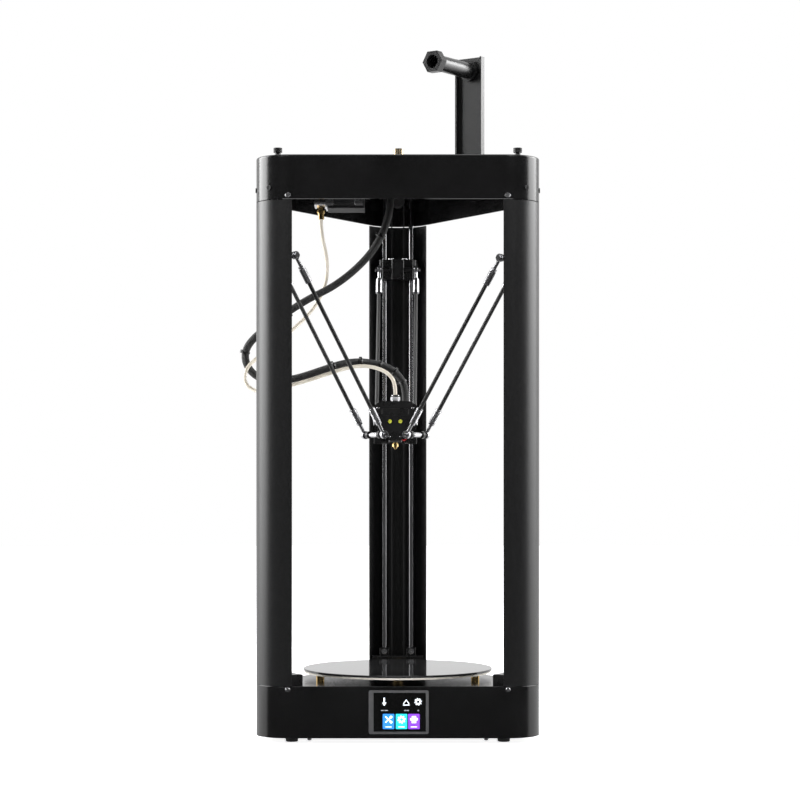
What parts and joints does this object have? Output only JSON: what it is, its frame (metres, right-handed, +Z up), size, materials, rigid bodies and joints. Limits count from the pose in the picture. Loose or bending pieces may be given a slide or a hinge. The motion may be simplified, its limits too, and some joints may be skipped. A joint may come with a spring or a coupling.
{
  "type": "delta 3d printer",
  "caption": "Delta 3D printer: rounded triangular base and top joined by three corner towers, round heated bed, print head hung on paired arms, spool arm.",
  "frame": {"origin": "centre of the bed's top face, on the machine's axis", "axes": "+Z up; -Y is the front, with the screen; +X to the right seen from the front"},
  "size_m": [0.3157, 0.2665, 0.7299],
  "materials": {
    "black_frame": "smooth black coating",
    "black_powder": "fine-textured black powder coat",
    "rubber": "matte",
    "chrome_rod": "polished",
    "black_plastic": "moulded, satin",
    "belt_rubber": "toothed, matte",
    "motor_black": "black case with laminated steel",
    "bracket_steel": "zinc plated",
    "bed_glass": "coated glass, glossy",
    "aluminium": "machined",
    "brass": "machined",
    "bezel_grey": "satin grey",
    "screen": "glossy, lit",
    "circuit_board": "solder mask",
    "bright_steel": "nickel plated",
    "carbon_tube": "black carbon fibre tube, satin",
    "cable_sleeve": "braided black sleeve",
    "ptfe": "translucent cream"
  },
  "bodies": {
    "frame": {"base_bottom_plate": "black_powder", "base_fan_frame": "black_plastic", "base_shell": "black_frame", "bed_glass": "bed_glass", "bed_plate": "aluminium", "bed_supports": "brass", "belt_brackets": "bracket_steel", "circuit_boards": "circuit_board", "drive_belts": "belt_rubber", "extruder_body": "aluminium", "extruder_bracket": "black_frame", "filament_fittings": "brass", "filament_tube": "ptfe", "frame_screws": "bright_steel", "guide_rods": "chrome_rod", "power_inlet": "black_plastic", "power_supply": "bracket_steel", "rod_blocks": "black_plastic", "rod_clamps": "black_plastic", "rubber_feet": "rubber", "screen_bezel": "bezel_grey", "screen_glass": "screen", "spool_axle": "black_plastic", "spool_bracket": "black_powder", "stepper_motors": "motor_black", "top_shell": "black_frame", "tower_covers": "black_powder", "wire_harness": "cable_sleeve"},
    "print_head": {"head_plate": "black_powder", "head_axles": "bright_steel", "heatsink": "aluminium", "heater_block": "aluminium", "nozzle": "brass", "head_cover": "black_plastic", "rear_housing": "black_plastic", "head_fan_frames": "black_plastic", "head_fittings": "bright_steel", "arm_tubes": "carbon_tube", "rod_ends": "aluminium"},
    "heatsink_fan": {"heatsink_fan_rotor": "black_plastic"},
    "part_fan": {"part_fan_rotor": "black_plastic"},
    "base_fan": {"base_fan_rotor": "black_plastic"},
    "extruder_gear": {"drive_gear": "brass"},
    "extruder_lever": {"idler_lever": "aluminium"},
    "power_switch": {"power_rocker": "black_plastic"},
    "carriage_left": {"carriage_left": "black_plastic", "carriage_hardware_left": "bright_steel"},
    "pulley_left": {"motor_pulley_left": "aluminium"},
    "idler_left": {"belt_idler_left": "aluminium"},
    "knob_left": {"tension_knob_left": "black_plastic"},
    "carriage_right": {"carriage_right": "black_plastic", "carriage_hardware_right": "bright_steel"},
    "pulley_right": {"motor_pulley_right": "aluminium"},
    "idler_right": {"belt_idler_right": "aluminium"},
    "knob_right": {"tension_knob_right": "black_plastic"},
    "carriage_back": {"carriage_back": "black_plastic", "carriage_hardware_back": "bright_steel"},
    "pulley_back": {"motor_pulley_back": "aluminium"},
    "idler_back": {"belt_idler_back": "aluminium"},
    "knob_back": {"tension_knob_back": "black_plastic"}
  },
  "joints": [
    {"name": "head_lift", "type": "slide", "parent": "frame", "child": "print_head", "axis": [0, 0, 1], "range_m": [-0.232, 0.03], "deforming": ["wire_harness", "filament_tube"]},
    {"name": "carriage_slide_left", "type": "slide", "parent": "frame", "child": "carriage_left", "axis": [0, 0, 1], "range_m": [-0.232, 0.03]},
    {"name": "pulley_spin_left", "type": "hinge", "parent": "frame", "child": "pulley_left", "pos_m": [-0.1299, -0.075, -0.037], "axis": [-0.866, -0.5, 0], "range_deg": [-2090, 272]},
    {"name": "idler_spin_left", "type": "hinge", "parent": "frame", "child": "idler_left", "pos_m": [-0.1299, -0.075, 0.518], "axis": [-0.866, -0.5, 0], "range_deg": [-2090, 272]},
    {"name": "tension_turn_left", "type": "hinge", "parent": "frame", "child": "knob_left", "pos_m": [-0.12471, -0.072, 0.541], "axis": [0, 0, 1], "continuous": true},
    {"name": "carriage_slide_right", "type": "slide", "parent": "frame", "child": "carriage_right", "axis": [0, 0, 1], "range_m": [-0.232, 0.03]},
    {"name": "pulley_spin_right", "type": "hinge", "parent": "frame", "child": "pulley_right", "pos_m": [0.1299, -0.075, -0.037], "axis": [0.866, -0.5, 0], "range_deg": [-2090, 272]},
    {"name": "idler_spin_right", "type": "hinge", "parent": "frame", "child": "idler_right", "pos_m": [0.1299, -0.075, 0.518], "axis": [0.866, -0.5, 0], "range_deg": [-2090, 272]},
    {"name": "tension_turn_right", "type": "hinge", "parent": "frame", "child": "knob_right", "pos_m": [0.12471, -0.072, 0.541], "axis": [0, 0, 1], "continuous": true},
    {"name": "carriage_slide_back", "type": "slide", "parent": "frame", "child": "carriage_back", "axis": [0, 0, 1], "range_m": [-0.232, 0.03]},
    {"name": "pulley_spin_back", "type": "hinge", "parent": "frame", "child": "pulley_back", "pos_m": [0, 0.15, -0.037], "axis": [0, 1, 0], "range_deg": [-2090, 272]},
    {"name": "idler_spin_back", "type": "hinge", "parent": "frame", "child": "idler_back", "pos_m": [0, 0.15, 0.518], "axis": [0, 1, 0], "range_deg": [-2090, 272]},
    {"name": "tension_turn_back", "type": "hinge", "parent": "frame", "child": "knob_back", "pos_m": [0, 0.144, 0.541], "axis": [0, 0, 1], "continuous": true},
    {"name": "heatsink_fan_spin", "type": "hinge", "parent": "print_head", "child": "heatsink_fan", "pos_m": [-0.0026, -0.012, 0.271], "axis": [0, 1, 0], "continuous": true},
    {"name": "part_fan_spin", "type": "hinge", "parent": "print_head", "child": "part_fan", "pos_m": [-0.0026, 0.0248, 0.266], "axis": [0, 1, 0], "continuous": true},
    {"name": "base_fan_spin", "type": "hinge", "parent": "frame", "child": "base_fan", "pos_m": [-0.10923, -0.00044, -0.038], "axis": [-0.866, 0.5, 0], "continuous": true},
    {"name": "extruder_gear_spin", "type": "hinge", "parent": "frame", "child": "extruder_gear", "pos_m": [-0.084, 0, 0.5125], "axis": [1, 0, 0], "continuous": true},
    {"name": "extruder_lever_press", "type": "hinge", "parent": "frame", "child": "extruder_lever", "pos_m": [-0.0874, 0.0152, 0.506], "axis": [1, 0, 0], "range_deg": [-6, 0], "stiffness_Nm_per_rad": 0.5, "springref_deg": 2.86},
    {"name": "power_rocker_tilt", "type": "hinge", "parent": "frame", "child": "power_switch", "pos_m": [0.05633, 0.09718, -0.038], "axis": [0.5, -0.866, 0], "range_deg": [-8, 8]}
  ],
  "couplings": [
    {"joint": "carriage_slide_left", "follows": "head_lift", "ratio": 1},
    {"joint": "pulley_spin_left", "follows": "head_lift", "rad_per_m": 157.08},
    {"joint": "idler_spin_left", "follows": "head_lift", "rad_per_m": 157.08},
    {"joint": "carriage_slide_right", "follows": "head_lift", "ratio": 1},
    {"joint": "pulley_spin_right", "follows": "head_lift", "rad_per_m": 157.08},
    {"joint": "idler_spin_right", "follows": "head_lift", "rad_per_m": 157.08},
    {"joint": "carriage_slide_back", "follows": "head_lift", "ratio": 1},
    {"joint": "pulley_spin_back", "follows": "head_lift", "rad_per_m": 157.08},
    {"joint": "idler_spin_back", "follows": "head_lift", "rad_per_m": 157.08}
  ]
}
